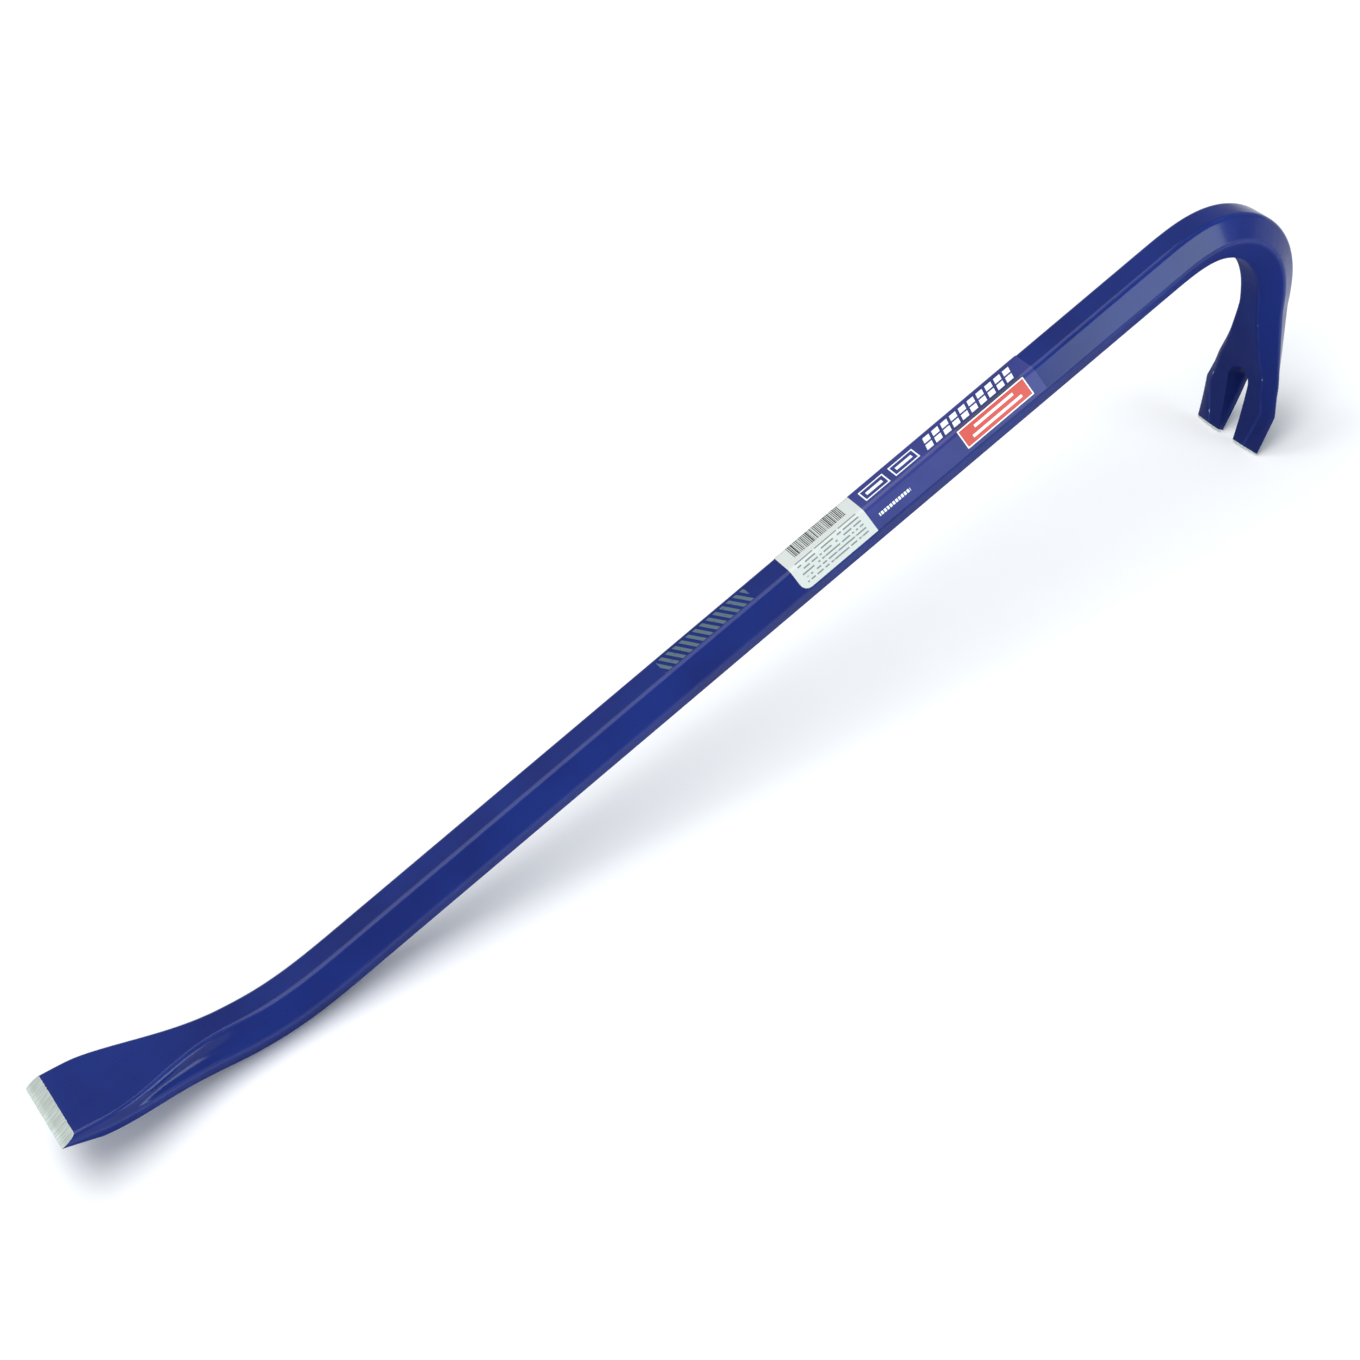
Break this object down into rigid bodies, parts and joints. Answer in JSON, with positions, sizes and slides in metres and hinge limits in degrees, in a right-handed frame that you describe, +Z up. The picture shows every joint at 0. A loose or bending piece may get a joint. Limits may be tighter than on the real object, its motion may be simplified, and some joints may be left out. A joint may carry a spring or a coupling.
{
  "type": "pry bar",
  "caption": "Gooseneck pry bar forged from hexagonal steel, with a flared bevelled chisel and a slotted nail claw.",
  "frame": {"origin": "middle of the base of the box round the bar, as it stands on its claw tips and the heel of its chisel", "axes": "+Z up from the bench, +X from the chisel to the gooseneck, the bar's plane of symmetry is XZ"},
  "size_m": [0.4516, 0.032, 0.0871],
  "materials": {
    "blue_paint": "gloss",
    "label_print": "gloss"
  },
  "bodies": {
    "root": {"forged_bar": "blue_paint", "label_film": "label_print"}
  },
  "joints": []
}
